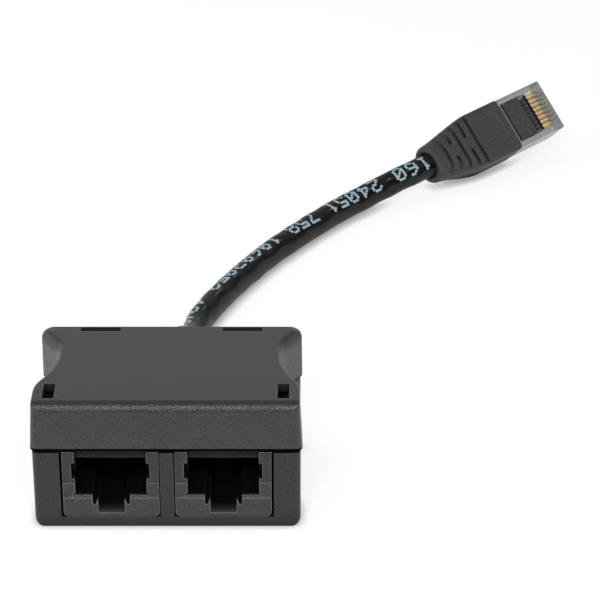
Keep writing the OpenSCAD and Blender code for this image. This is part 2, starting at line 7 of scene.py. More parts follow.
import bpy
import numpy as np
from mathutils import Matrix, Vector


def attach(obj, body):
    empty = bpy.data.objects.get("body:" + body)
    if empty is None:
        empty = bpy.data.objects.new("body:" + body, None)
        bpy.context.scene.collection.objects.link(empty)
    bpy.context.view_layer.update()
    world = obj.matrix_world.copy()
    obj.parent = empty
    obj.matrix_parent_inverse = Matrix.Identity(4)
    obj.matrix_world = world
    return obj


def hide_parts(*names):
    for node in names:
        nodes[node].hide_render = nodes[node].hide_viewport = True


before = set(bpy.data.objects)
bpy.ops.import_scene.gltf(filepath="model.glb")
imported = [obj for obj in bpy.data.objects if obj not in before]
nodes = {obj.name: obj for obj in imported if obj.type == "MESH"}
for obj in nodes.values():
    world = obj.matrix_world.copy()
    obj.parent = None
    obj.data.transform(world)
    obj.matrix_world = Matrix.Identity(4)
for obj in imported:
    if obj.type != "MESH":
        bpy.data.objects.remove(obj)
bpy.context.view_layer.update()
scene = bpy.context.scene
scene.view_settings.view_transform = "Standard"
MM = 0.001

# ---------------------------------------------------------------- sizes and places, in millimetres

CABLE_R = 2.6
CABLE_ROUTE = [
    (0, 9, 14.45), (0, 14, 14.45), (0, 20, 14.45), (0.1, 25, 13.6), (0.3, 30, 11.7), (0.7, 35, 9.1), (1.2, 40, 6.2),
    (1.7, 45, 4.1), (2.3, 50, 2.9), (3.1, 55, 2.6), (5.3, 61.3, 2.6), (8.3, 68.4, 2.6), (11.9, 75.8, 2.6),
    (15.7, 82.8, 2.6), (20, 89.5, 2.6), (25, 96.7, 2.6), (30.2, 103.4, 2.8), (34.1, 107.2, 3.2), (38.2, 110.7, 3.9),
    (43.2, 114.6, 4.8),
]
CABLE_TAIL = [26.5, 22, 17, 12, 6.5]  # how far behind the plug's rear face the last points lie

PLUG_POS = np.array([65.7, 133.8, 7.5])
PLUG_HEADING, PLUG_PITCH, PLUG_ROLL = 41, 5, 46
PLUG_L = 13.65
CONTACT_PITCH = 1.02
SPIGOT_L, SPIGOT_HALF_W, SPIGOT_HALF_T = 6.6, 4.9, 2.9
WIRE_R = 0.44

BOOT_L, BOOT_BLOCK_L = 22, 9.6
BOOT_HALF_W, BOOT_HALF_T, BOOT_CORNER = 6, 3.9, 0.9
BOOT_REAR_R, BOOT_BORE_R = 4.1, 2.7
GROOVE_PITCH, GROOVE_W, GROOVE_D, GROOVE_BRIDGE = 2.2, 0.85, 0.9, 1.35


def turn(axis, degrees):
    """The rotation matrix about x, y or z."""
    c, s = np.cos(np.radians(degrees)), np.sin(np.radians(degrees))
    a, b = {"x": (1, 2), "y": (2, 0), "z": (0, 1)}[axis]
    m = np.eye(3)
    m[a, a], m[a, b], m[b, a], m[b, b] = c, -s, s, c
    return m


PLUG_TURN = turn("z", PLUG_HEADING) @ turn("y", -PLUG_PITCH) @ turn("x", PLUG_ROLL)


def at_plug(points):
    """Points in the plug's own frame, x to its nose and z out of its contact face, turned and moved to its place."""
    return np.asarray(points, float) @ PLUG_TURN.T + PLUG_POS


# ---------------------------------------------------------------- camera, lamps and floor


def make_camera():
    """The photograph's camera: a long lens, level sideways, looking 27.5 degrees down on the jacks."""
    data = bpy.data.cameras.new("photo_camera")
    data.sensor_width = 36
    data.lens = 152.25
    data.clip_start, data.clip_end = 0.01, 10
    camera = bpy.data.objects.new("photo_camera", data)
    camera.location = (0.02207, -0.37282, 0.22962)
    camera.rotation_euler = (np.radians(62.5), 0, 0)
    scene.collection.objects.link(camera)
    scene.camera = camera


def softbox(name, place, target, width, height, power, colour=(1, 1, 1)):
    """An area lamp at place that faces target."""
    data = bpy.data.lights.new(name, "AREA")
    data.shape = "RECTANGLE"
    data.size, data.size_y, data.energy = width, height, power
    data.color = colour
    lamp = bpy.data.objects.new(name, data)
    lamp.location = place
    lamp.rotation_euler = (Vector(target) - Vector(place)).to_track_quat("-Z", "Y").to_euler()
    scene.collection.objects.link(lamp)


def add(tree, kind, inputs=None, **settings):
    """A new shader node. settings are its properties, and inputs its sockets' values or what feeds them."""
    made = tree.nodes.new("ShaderNode" + kind)
    for name, value in settings.items():
        setattr(made, name, value)
    for name, value in (inputs or {}).items():
        socket = made.inputs[name]
        if isinstance(value, bpy.types.NodeSocket):
            tree.links.new(value, socket)
        else:
            socket.default_value = value
    return made


def seen_directly(tree):
    """1 for rays from the camera, off a glossy surface or through glass, and 0 for those that light a surface."""
    rays = add(tree, "LightPath")
    first = add(tree, "Math", {0: rays.outputs["Is Camera Ray"], 1: rays.outputs["Is Glossy Ray"]}, operation="MAXIMUM")
    return add(tree, "Math", {0: first.outputs[0], 1: rays.outputs["Is Transmission Ray"]}, operation="MAXIMUM").outputs[0]


def studio_dark(tree):
    """How dark gloss finds a direction, 0 to 1: the ceiling, and the open front between the floor and the lamp."""
    way = add(tree, "SeparateXYZ", {0: add(tree, "TexCoord").outputs["Generated"]})
    ahead = add(tree, "MapRange", {"Value": way.outputs["Y"], "From Min": -0.35, "From Max": -0.7})
    high = add(tree, "MapRange", {"Value": way.outputs["Z"], "From Min": 0.45, "From Max": 0.7})
    return add(tree, "Math", {0: ahead.outputs[0], 1: high.outputs[0]}, operation="MAXIMUM").outputs[0]


def make_world(fill, mirrored, dark):
    """A white background. It lights matt surfaces with a soft grey fill; gloss shows it at the level mirrored, darker
    by dark in the ceiling and the open front."""
    world = bpy.data.worlds.new("studio")
    scene.world = world
    world.use_nodes = True
    tree = world.node_tree
    tree.nodes.clear()
    strength = add(tree, "Mix", {0: seen_directly(tree), 2: fill, 3: 1.0}, data_type="FLOAT")
    gloss = add(tree, "MapRange", {"Value": studio_dark(tree), "To Min": mirrored, "To Max": mirrored - dark})
    strength = add(tree, "Mix", {0: add(tree, "LightPath").outputs["Is Glossy Ray"], 2: strength.outputs[0],
                                 3: gloss.outputs[0]}, data_type="FLOAT")
    light = add(tree, "Background", {"Color": (1, 1, 1, 1), "Strength": strength.outputs[0]})
    out = add(tree, "OutputWorld")
    tree.links.new(light.outputs[0], out.inputs["Surface"])


def make_floor(shown, lift, contact):
    """A plain pale floor. For what looks at it directly, its own shade is shown and lift is added to it, which makes
    it white where the light is full and leaves the object's shadow faint. The lift fades within contact metres of
    where the object rests, where little light comes in. Gloss finds it dark beyond 0.1 m in front, like the studio."""
    half = 3.0
    mesh = bpy.data.meshes.new("floor")
    mesh.from_pydata([(-half, -half, 0), (half, -half, 0), (half, half, 0), (-half, half, 0)], [], [(0, 1, 2, 3)])
    floor = bpy.data.objects.new("floor", mesh)
    scene.collection.objects.link(floor)
    material = bpy.data.materials.new("floor")
    material.use_nodes = True
    tree = material.node_tree
    tree.nodes.clear()
    seen = seen_directly(tree)
    shade = add(tree, "Mix", {0: seen, 6: (0.8, 0.8, 0.8, 1), 7: (shown, shown, shown, 1)}, data_type="RGBA")
    place = add(tree, "SeparateXYZ", {0: add(tree, "TexCoord").outputs["Object"]})
    ahead = add(tree, "MapRange", {"Value": place.outputs["Y"], "From Min": -0.06, "From Max": -0.1})
    gone = add(tree, "Math", {0: ahead.outputs[0], 1: add(tree, "LightPath").outputs["Is Glossy Ray"]}, operation="MULTIPLY")
    shade = add(tree, "Mix", {0: gone.outputs[0], 6: shade.outputs[2], 7: (0.02, 0.02, 0.02, 1)}, data_type="RGBA")
    matt = add(tree, "BsdfDiffuse", {"Color": shade.outputs[2]})
    sky = add(tree, "AmbientOcclusion", {"Distance": contact}, samples=8)
    open_floor = add(tree, "MapRange", {"Value": sky.outputs["AO"], "From Min": 0.3, "From Max": 0.9,
                                         "To Min": 0.35 * lift, "To Max": lift})
    strength = add(tree, "Math", {0: seen, 1: open_floor.outputs[0]}, operation="MULTIPLY")
    strength = add(tree, "Mix", {0: gone.outputs[0], 2: strength.outputs[0], 3: 0.0}, data_type="FLOAT")
    glow = add(tree, "Emission", {"Color": (1, 1, 1, 1), "Strength": strength.outputs[0]})
    both = add(tree, "AddShader", {0: matt.outputs[0], 1: glow.outputs[0]})
    out = add(tree, "OutputMaterial")
    tree.links.new(both.outputs[0], out.inputs["Surface"])
    mesh.materials.append(material)


# ---------------------------------------------------------------- surfaces worked out with numpy


def eased(u):
    """0 to 1 with level ends: u squared times (3 - 2u)."""
    u = np.clip(u, 0, 1)
    return u * u * (3 - 2 * u)


def mix(a, b, u):
    return a + (b - a) * u


def grid_corners(rows, columns, wrap_rows):
    """Row and column numbers of each quad's four corners on a grid whose columns close, not yet wrapped round."""
    i = np.arange(rows if wrap_rows else rows - 1)[:, None, None] + np.array([0, 0, 1, 1])
    j = np.arange(columns)[None, :, None] + np.array([0, 1, 1, 0])
    i, j = np.broadcast_arrays(i, j)
    return i.reshape(-1, 4), j.reshape(-1, 4)


def grid_piece(name, points, wrap_rows=False):
    """A closed surface through a rows x columns grid of points in millimetres. Columns run round it and close; rows
    run along it and close too with wrap_rows, or else each end is covered by one flat face. The UV map is the row
    number over the count of rows, and the same for the column."""
    rows, columns = points.shape[:2]
    i, j = grid_corners(rows, columns, wrap_rows)
    faces = ((i % rows) * columns + j % columns).tolist()
    uv = np.stack([i / (rows - 1), j / columns], -1).reshape(-1, 2)
    if not wrap_rows:
        first = np.arange(columns)
        faces += [first[::-1].tolist(), (first + (rows - 1) * columns).tolist()]
        uv = np.vstack([uv, np.zeros((columns, 2)), np.ones((columns, 2))])
    return mesh_piece(name, points.reshape(-1, 3), faces, uv)


def mesh_piece(name, points, faces, uv=None):
    """An object at the origin with its place in its mesh, which is given in millimetres."""
    mesh = bpy.data.meshes.new(name)
    mesh.from_pydata((np.asarray(points, float) * MM).tolist(), [], faces)
    if uv is not None:
        mesh.uv_layers.new(name="UVMap").data.foreach_set("uv", np.asarray(uv, np.float32).ravel())
    mesh.polygons.foreach_set("use_smooth", np.ones(len(mesh.polygons), bool))
    mesh.update()
    piece = bpy.data.objects.new(name, mesh)
    scene.collection.objects.link(piece)
    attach(piece, "root")
    return piece


def smooth_path(points, per_span):
    """A Catmull-Rom curve: from b to c, with a before and d after, at t from 0 to 1, it is half of
    2b + (c - a) t + (2a - 5b + 4c - d) t squared + (3b - a - 3c + d) t cubed."""
    p = np.asarray(points, float)
    p = np.vstack([2 * p[0] - p[1], p, 2 * p[-1] - p[-2]])
    a, b, c, d = p[:-3, None], p[1:-2, None], p[2:-1, None], p[3:, None]
    t = (np.arange(per_span) / per_span)[None, :, None]
    curve = (2 * b + (c - a) * t + (2 * a - 5 * b + 4 * c - d) * t**2 + (3 * b - a - 3 * c + d) * t**3) / 2
    return np.vstack([curve.reshape(-1, 3), p[-2]])


class Path:
    """A curve with its length so far and, at each point, a level vector across it and one that rises from it."""

    def __init__(self, points):
        self.points = points
        step = np.linalg.norm(np.diff(points, axis=0), axis=1)
        self.length = np.concatenate([[0], np.cumsum(step)])
        ahead = np.gradient(points, self.length, axis=0)
        ahead /= np.linalg.norm(ahead, axis=1, keepdims=True)
        across = np.cross(ahead, [0, 0, 1.0])
        self.across = across / np.linalg.norm(across, axis=1, keepdims=True)
        self.rise = np.cross(self.across, ahead)

    def at(self, values, s):
        """A vector of each point, such as across, read at the lengths s."""
        return np.stack([np.interp(s, self.length, values[:, k]) for k in range(3)], -1)

    def around(self, s, angle, radius):
        """The point at length s, out by radius at that angle, which is 0 across the path and 90 degrees above it."""
        c, d = np.cos(angle)[..., None], np.sin(angle)[..., None]
        out = self.at(self.across, s) * c + self.at(self.rise, s) * d
        return self.at(self.points, s) + out * radius[..., None]


def tube(name, path, radius, sides):
    """Rings round each point of a path; radius is a number or a function of length and angle."""
    s, angle = np.meshgrid(path.length, np.arange(sides) * 2 * np.pi / sides, indexing="ij")
    r = radius(s, angle) if callable(radius) else np.full(s.shape, float(radius))
    return grid_piece(name, path.around(s, angle, r))


def disc_faces(count, rim):
    """Triangles of count discs, each with its rim points first, then the middle of its front and of its back."""
    k = np.arange(rim)
    front = np.stack([k, (k + 1) % rim, np.full(rim, rim)], -1)
    back = np.stack([(k + 1) % rim, k, np.full(rim, rim + 1)], -1)
    one = np.vstack([front, back])
    return (one[None] + (np.arange(count) * (rim + 2))[:, None, None]).reshape(-1, 3).tolist()


# ---------------------------------------------------------------- the cable and its print


def cable_centreline():
    """The route of the solid, carried on to the rear of the plug and made smooth, and never below its radius."""
    ahead = PLUG_TURN @ [1, 0, 0]
    points = CABLE_ROUTE + [tuple(PLUG_POS - back * ahead) for back in CABLE_TAIL]
    line = smooth_path(points, 24)
    line[:, 2] = np.maximum(line[:, 2], CABLE_R)
    return Path(line)


def jacket_radius(s, angle):
    """The cable's radius, drawn in a little between the twisted pairs that press on the jacket from inside: swellings
    6.5 mm apart along it, that wind slowly round it, times two broad swellings round it."""
    along = 0.5 + 0.5 * np.cos(2 * np.pi * s / 6.5 + angle)
    round_it = 0.5 + 0.5 * np.cos(3 * angle - 2 * np.pi * s / 45)
    return CABLE_R - 0.11 * (1 - along * round_it)


DIGITS = {
    "0": "01110 10001 10011 10101 11001 10001 01110",
    "1": "00100 01100 00100 00100 00100 00100 01110",
    "2": "01110 10001 00001 00110 01000 10000 11111",
    "3": "11110 00001 00001 01110 00001 00001 11110",
    "4": "00010 00110 01010 10010 11111 00010 00010",
    "5": "11111 10000 11110 00001 00001 10001 01110",
    "6": "00110 01000 10000 11110 10001 10001 01110",
    "7": "11111 00001 00010 00100 01000 01000 01000",
    "8": "01110 10001 10001 01110 10001 10001 01110",
    "9": "01110 10001 10001 01111 00001 00010 01100",
}
PRINT = "160 24051 758 10603052 4048016 3502"
LETTER_PITCH, LETTER_COLUMN, LETTER_ROW = 3.3, 0.5, 0.5


def digit_dots():
    """Where each dot of the print lies, in millimetres: how far along the reading direction, and how far up."""
    found = []
    for place, letter in enumerate(PRINT):
        if letter in DIGITS:
            rows = np.array([[int(c) for c in row] for row in DIGITS[letter].split()])
            row, column = np.nonzero(rows)
            found.append(np.stack([place * LETTER_PITCH + column * LETTER_COLUMN, (3 - row) * LETTER_ROW], -1))
    return np.vstack(found)


def print_on(path):
    """Dots of ink on the jacket, read from the plug towards the housing. Each is a lens with its rim on the jacket.
    The line of print winds from the top of the cable at the housing to the side that faces the jacks at the plug."""
    rim, ink_r, lift = 10, 0.38, 0.03
    dots = digit_dots()
    start = path.length[-1] - 16.5
    turned = np.radians(mix(165, 52, eased((start - dots[:, 0]) / path.length[-1])))
    a = np.arange(rim) * 2 * np.pi / rim
    along = np.concatenate([np.cos(a), [0, 0]]) * ink_r
    up = np.concatenate([np.sin(a), [0, 0]]) * ink_r * 0.9
    out = np.concatenate([np.zeros(rim), [lift, -lift]])
    s = start - (dots[:, :1] + along)
    angle = turned[:, None] - (dots[:, 1:] + up) / CABLE_R
    points = path.around(s, angle, jacket_radius(s, angle) + out)
    return mesh_piece("cable_print", points.reshape(-1, 3), disc_faces(len(dots), rim))


# ---------------------------------------------------------------- the boot


def boot_section(x):
    """Half width, half thickness and corner radius of the boot at x, which turns round and narrower to its rear."""
    straight = np.clip((-x - BOOT_BLOCK_L) / (BOOT_L - BOOT_BLOCK_L), 0, 1)
    u = eased(straight)
    return (mix(BOOT_HALF_W, BOOT_REAR_R, (u + straight) / 2), mix(BOOT_HALF_T, BOOT_REAR_R, u),
            mix(BOOT_CORNER, BOOT_REAR_R - 0.01, u))


def boot_rows():
    """x, half width, half thickness and corner radius of each ring: over the rounded rear end, along the outside,
    over the front edge, into the plug's pocket and back through the bore."""
    t = np.radians(np.linspace(90, 0, 8))
    rear_x, rear_in = -BOOT_L + 0.7 * (1 - np.sin(t)), 0.7 * (1 - np.cos(t))
    side_x = np.linspace(-BOOT_L + 0.7, -0.25, 260)[1:]
    front_x, front_in = -0.25 + 0.25 * np.cos(t), 0.25 * (1 - np.sin(t))
    x = np.concatenate([rear_x, side_x, front_x[1:]])
    inset = np.concatenate([rear_in, np.zeros(len(side_x)), front_in[1:]])
    w, h, r = boot_section(x)
    inner = np.array([
        [0, SPIGOT_HALF_W, SPIGOT_HALF_T, 0.3], [-SPIGOT_L, SPIGOT_HALF_W, SPIGOT_HALF_T, 0.3],
        [-SPIGOT_L, BOOT_BORE_R, BOOT_BORE_R, BOOT_BORE_R - 0.01], [-BOOT_L, BOOT_BORE_R, BOOT_BORE_R, BOOT_BORE_R - 0.01],
    ])
    outside = np.stack([x, w - inset, h - inset, np.clip(r - inset, 0.25, None)], -1)
    return outside, inner


def rounded_rectangle(corner, wide, tall):
    """Round a rectangle once: which side of the middle a corner's centre lies on, from -1 to 1 along the sides, and
    the direction outwards. corner, wide and tall are the steps of each corner and side."""
    parts = []
    for q, (sy, sz) in enumerate([(1, 1), (-1, 1), (-1, -1), (1, -1)]):
        a = np.radians(90 * q + 90 * np.arange(corner + 1) / corner)
        parts.append(np.stack([np.full(corner + 1, sy), np.full(corner + 1, sz), np.cos(a), np.sin(a)], -1))
        count = wide if q % 2 == 0 else tall
        u = np.arange(1, count) / count
        end = a[-1]
        ny, nz = (-sy, sz) if q % 2 == 0 else (sy, -sz)
        parts.append(np.stack([mix(sy, ny, u), mix(sz, nz, u), np.full(count - 1, np.cos(end)),
                               np.full(count - 1, np.sin(end))], -1))
    return np.vstack(parts).T


def boot_points():
    """The boot in the plug's frame. Flex grooves sink into both broad faces, whole ones in turn with ones that leave
    a bridge in the middle, and a shallow panel into the upper face."""
    outside, inner = boot_rows()
    rows = np.vstack([outside, inner])
    x, w, h, r = (rows[:, k, None] for k in range(4))
    side_y, side_z, out_y, out_z = rounded_rectangle(7, 44, 12)
    y = side_y * (w - r) + out_y * r
    z = side_z * (h - r) + out_z * r
    is_outside = (np.arange(len(rows)) < len(outside))[:, None]
    soft = 0.3
    sink = np.zeros_like(y)
    for g in range(5):
        middle = -BOOT_BLOCK_L - GROOVE_W / 2 - g * GROOVE_PITCH
        across = eased((w - 0.35 - np.abs(y)) / 0.5)
        if g % 2:
            across = across * eased((np.abs(y) - GROOVE_BRIDGE + 0.1) / 0.4)
        sink += eased((GROOVE_W / 2 + soft / 2 - np.abs(x - middle)) / soft) * across * GROOVE_D
    panel = eased((2.75 - np.abs(x + 4.6)) / 0.3) * eased((3.5 - np.abs(y)) / 0.3) * (out_z > 0) * 0.15
    z = z - np.sign(z) * (sink + panel) * is_outside
    return np.stack([np.broadcast_to(x, y.shape), y, z], -1)


# ---------------------------------------------------------------- materials


def new_group(name, inputs, outputs):
    """A shader node group with named sockets. Returns its tree, its input node and its output node."""
    tree = bpy.data.node_groups.new(name, "ShaderNodeTree")
    for socket, value in inputs.items():
        made = tree.interface.new_socket(name=socket, in_out="INPUT", socket_type="NodeSocketFloat")
        made.default_value = value
    for socket, kind in outputs.items():
        tree.interface.new_socket(name=socket, in_out="OUTPUT", socket_type="NodeSocket" + kind)
    return tree, tree.nodes.new("NodeGroupInput"), tree.nodes.new("NodeGroupOutput")


def moulded_grain_group():
    """The matt grain of a spark-eroded mould: rounded cells broken up by noise, over edges rounded by Round, and
    shallower on level faces. Sizes are in metres; Normal carries the grain, Pits is low in its hollows, and Shade is a
    faint cloudiness from 0 to 1."""
    tree, given, out = new_group("moulded_grain", {"Size": 0.0003, "Depth": 0.00002, "Round": 0.00015},
                                 {"Normal": "Vector", "Pits": "Float", "Shade": "Float"})
    place = add(tree, "TexCoord").outputs["Object"]
    scale = add(tree, "Math", {0: 1.0, 1: given.outputs["Size"]}, operation="DIVIDE").outputs[0]
    cells = add(tree, "TexVoronoi", {"Vector": place, "Scale": scale, "Smoothness": 0.6}, feature="SMOOTH_F1")
    noise = add(tree, "TexNoise", {"Vector": place, "Scale": scale, "Detail": 3.0, "Roughness": 0.65})
    height = add(tree, "Math", {0: cells.outputs["Distance"], 1: noise.outputs["Fac"]}, operation="ADD")
    rounded = add(tree, "Bevel", {"Radius": given.outputs["Round"]}, samples=6)
    level = add(tree, "SeparateXYZ", {0: add(tree, "TexCoord").outputs["Normal"]})
    steep = add(tree, "MapRange", {"Value": level.outputs["Z"], "From Min": 0.97, "From Max": 0.7, "To Min": 0.2})
    depth = add(tree, "Math", {0: given.outputs["Depth"], 1: steep.outputs[0]}, operation="MULTIPLY")
    bump = add(tree, "Bump", {"Height": height.outputs[0], "Distance": depth.outputs[0], "Strength": 1.0,
                              "Normal": rounded.outputs[0]})
    low = add(tree, "Math", {0: steep.outputs[0], 1: -0.5, 2: 0.5}, operation="MULTIPLY_ADD").outputs[0]
    high = add(tree, "Math", {0: steep.outputs[0], 1: 0.5, 2: 0.5}, operation="MULTIPLY_ADD").outputs[0]
    pits = add(tree, "MapRange", {"Value": height.outputs[0], "From Min": 0.6, "From Max": 1.1, "To Min": low, "To Max": high})
    cloud = add(tree, "TexNoise", {"Vector": place, "Scale": 140.0, "Detail": 4.0, "Roughness": 0.6})
    tree.links.new(bump.outputs[0], out.inputs["Normal"])
    tree.links.new(pits.outputs[0], out.inputs["Pits"])
    tree.links.new(cloud.outputs["Fac"], out.inputs["Shade"])
    return tree


def edge_highlight_group():
    """Where a piece's edges are painted paler, a painted highlight along them: how far the surface's rounded normal
    turns from its own.
    """
    tree, given, out = new_group("edge_highlight", {"Radius": 0.0002}, {"Edge": "Float"})
    soft = add(tree, "Bevel", {"Radius": given.outputs["Radius"]}, samples=4)
    own = add(tree, "NewGeometry")
    match = add(tree, "VectorMath", {0: soft.outputs[0], 1: own.outputs["Normal"]}, operation="DOT_PRODUCT")
    edge = add(tree, "MapRange", {"Value": match.outputs["Value"], "From Min": 1.0, "From Max": 0.75})
    tree.links.new(edge.outputs[0], out.inputs["Edge"])
    return tree


def hollow_group():
    """How open a place is: 1 in the open and 0 deep in a slot, a socket or a groove, judged out to Reach."""
    tree, given, out = new_group("hollow", {"Reach": 0.004}, {"Open": "Float"})
    sky = add(tree, "AmbientOcclusion", {"Distance": given.outputs["Reach"]}, samples=6)
    spread = add(tree, "MapRange", {"Value": sky.outputs["AO"], "From Min": 0.2, "From Max": 0.7})
    tree.links.new(spread.outputs[0], out.inputs["Open"])
    return tree


def dust_group():
    """Sparse pale specks of dust, a twentieth of a millimetre across, and faint wiped streaks."""
    tree, given, out = new_group("dust", {"Amount": 0.1}, {"Mask": "Float"})
    place = add(tree, "TexCoord").outputs["Object"]
    specks = add(tree, "TexVoronoi", {"Vector": place, "Scale": 900.0}, feature="F1")
    small = add(tree, "MapRange", {"Value": specks.outputs["Distance"], "From Min": 0.13, "From Max": 0.04})
    patchy = add(tree, "TexNoise", {"Vector": place, "Scale": 260.0, "Detail": 2.0})
    where = add(tree, "MapRange", {"Value": patchy.outputs["Fac"], "From Min": 0.55, "From Max": 0.75})
    both = add(tree, "Math", {0: small.outputs[0], 1: where.outputs[0]}, operation="MULTIPLY")
    mask = add(tree, "Math", {0: both.outputs[0], 1: given.outputs["Amount"]}, operation="MULTIPLY")
    tree.links.new(mask.outputs[0], out.inputs["Mask"])
    return tree


GRAIN, EDGES, HOLLOW, DUST = moulded_grain_group(), edge_highlight_group(), hollow_group(), dust_group()


def place_group(tree, group, **inputs):
    made = tree.nodes.new("ShaderNodeGroup")
    made.node_tree = group
    for name, value in inputs.items():
        made.inputs[name].default_value = value
    return made


def new_material(name, **inputs):
    """A material with one Principled shader, whose sockets take the inputs. Returns the material, tree and shader."""
    material = bpy.data.materials.new(name)
    material.use_nodes = True
    tree = material.node_tree
    tree.nodes.clear()
    shader = tree.nodes.new("ShaderNodeBsdfPrincipled")
    for socket, value in inputs.items():
        shader.inputs[socket.replace("_", " ")].default_value = value
    out = add(tree, "OutputMaterial")
    tree.links.new(shader.outputs[0], out.inputs["Surface"])
    return material, tree, shader


def blend(tree, factor, a, b):
    """Colour a where factor is 0 and colour b where it is 1; either is a colour or a socket."""
    return add(tree, "Mix", {0: factor, 6: a, 7: b}, data_type="RGBA").outputs[2]


def tone(colour, by):
    return tuple(c * by for c in colour) + (1,)


def out_of_the_light(tree, axis, lit, dark, most):
    """0 where the place along the axis X, Y or Z is lit, in metres, and up to most where it is dark: most times
    1 - u squared, as u falls from 1 to 0 between the two."""
    place = add(tree, "SeparateXYZ", {0: add(tree, "TexCoord").outputs["Object"]})
    light = add(tree, "MapRange", {"Value": place.outputs[axis], "From Min": dark, "From Max": lit}).outputs[0]
    light = add(tree, "Math", {0: light, 1: 2.0}, operation="POWER").outputs[0]
    return add(tree, "Math", {0: light, 1: -most, 2: most}, operation="MULTIPLY_ADD").outputs[0]


def moulded_plastic(name, colour, roughness, specular, grain, depth, edge_highlight_gain=3, dust=0.12, edge=0.15, reach=0.005,
                    shaded=None):
    """Moulded plastic: grain that is darker in its pits, faint cloudiness of its colour and shine, edges painted paler
    as a painted highlight, hollows painted dark and dull as painted shade, and a little dust. shaded is what
    out_of_the_light needs, if a side lies in shade: there it darkens like black metal, which takes its gloss away too."""
    material, tree, shader = new_material(name, Specular_IOR_Level=specular)
    made = place_group(tree, GRAIN, Size=grain, Depth=depth, Round=edge * MM)
    edges = place_group(tree, EDGES, Radius=0.00025)
    hollow = place_group(tree, HOLLOW, Reach=reach)
    specks = place_group(tree, DUST, Amount=dust)
    body = blend(tree, made.outputs["Shade"], tone(colour, 0.92), tone(colour, 1.08))
    pitted = blend(tree, made.outputs["Pits"], tone(colour, 0.35), tone(colour, 1.75))
    body = blend(tree, 0.5, body, pitted)
    # Edges are painted paler: a painted highlight along them.
    edge_lit = add(tree, "Math", {0: edges.outputs["Edge"], 1: 0.8}, operation="MULTIPLY").outputs[0]
    edge_highlighted = blend(tree, edge_lit, body, tone(colour, edge_highlight_gain))
    dusty = blend(tree, specks.outputs["Mask"], edge_highlighted, (0.3, 0.3, 0.29, 1))
    # Deep in hollows the colour is painted dark: painted shade.
    seen = blend(tree, hollow.outputs["Open"], tone(colour, 0.08), dusty)
    if shaded:
        shade = out_of_the_light(tree, *shaded)
        seen = blend(tree, shade, seen, tone(colour, 0.04))
        tree.links.new(shade, shader.inputs["Metallic"])
    tree.links.new(seen, shader.inputs["Base Color"])
    shine = add(tree, "MapRange", {"Value": made.outputs["Shade"], "To Min": roughness - 0.04, "To Max": roughness + 0.04})
    dull = add(tree, "Mix", {0: hollow.outputs["Open"], 2: 0.95, 3: shine.outputs[0]}, data_type="FLOAT")
    tree.links.new(dull.outputs[0], shader.inputs["Roughness"])
    tree.links.new(made.outputs["Normal"], shader.inputs["Normal"])
    return material


def cable_painted_light_group():
    """Painted light on the jacket from its UV map, laid out along the twisted pairs under it: a dark band of painted
    reflection that waves along the cable between the pairs, painted light on the side under it, and small painted
    highlights on the pairs' swellings, one for each of the Turns along the cable."""
    tree, given, out = new_group("cable_painted_light", {"Turns": 20.0}, {"PaintedDarkBand": "Float", "PaintedPaleUnderside": "Float", "PaintedHighlight": "Float"})
    uv = add(tree, "SeparateXYZ", {0: add(tree, "UVMap", uv_map="UVMap").outputs[0]})
    along, round_it = uv.outputs["X"], uv.outputs["Y"]
    place = add(tree, "TexCoord").outputs["Object"]
    loose = add(tree, "TexNoise", {"Vector": place, "Scale": 120.0, "Detail": 2.0})
    phase = add(tree, "Math", {0: along, 1: given.outputs["Turns"]}, operation="MULTIPLY")
    phase = add(tree, "Math", {0: phase.outputs[0], 1: loose.outputs["Fac"]}, operation="ADD")
    phase = add(tree, "Math", {0: phase.outputs[0], 1: 2 * np.pi}, operation="MULTIPLY").outputs[0]
    wave = add(tree, "Math", {0: phase}, operation="SINE").outputs[0]
    turned = add(tree, "MapRange", {"Value": along, "To Min": 0.2, "To Max": 0.055}).outputs[0]
    dark_band_line = add(tree, "Math", {0: wave, 1: 0.016, 2: turned}, operation="MULTIPLY_ADD").outputs[0]
    off = add(tree, "Math", {0: round_it, 1: dark_band_line}, operation="SUBTRACT")
    off = add(tree, "Math", {0: off.outputs[0], 1: 0.5, 2: -0.5}, operation="WRAP").outputs[0]
    below = add(tree, "MapRange", {"Value": off, "From Min": -0.02, "From Max": -0.06})
    tree.links.new(below.outputs[0], out.inputs["PaintedPaleUnderside"])
    off = add(tree, "Math", {0: off}, operation="ABSOLUTE").outputs[0]
    dark = add(tree, "MapRange", {"Value": off, "From Min": 0.05, "From Max": 0.015})
    highlight_line = add(tree, "Math", {0: dark_band_line, 1: 0.055}, operation="ADD").outputs[0]
    near = add(tree, "Math", {0: round_it, 1: highlight_line}, operation="SUBTRACT")
    near = add(tree, "Math", {0: near.outputs[0]}, operation="ABSOLUTE").outputs[0]
    near = add(tree, "MapRange", {"Value": near, "From Min": 0.02, "From Max": 0.004})
    peak = add(tree, "MapRange", {"Value": wave, "From Min": 0.3, "From Max": 0.95})
    painted_highlight = add(tree, "Math", {0: near.outputs[0], 1: peak.outputs[0]}, operation="MULTIPLY")
    tree.links.new(dark.outputs[0], out.inputs["PaintedDarkBand"])
    tree.links.new(painted_highlight.outputs[0], out.inputs["PaintedHighlight"])
    return tree


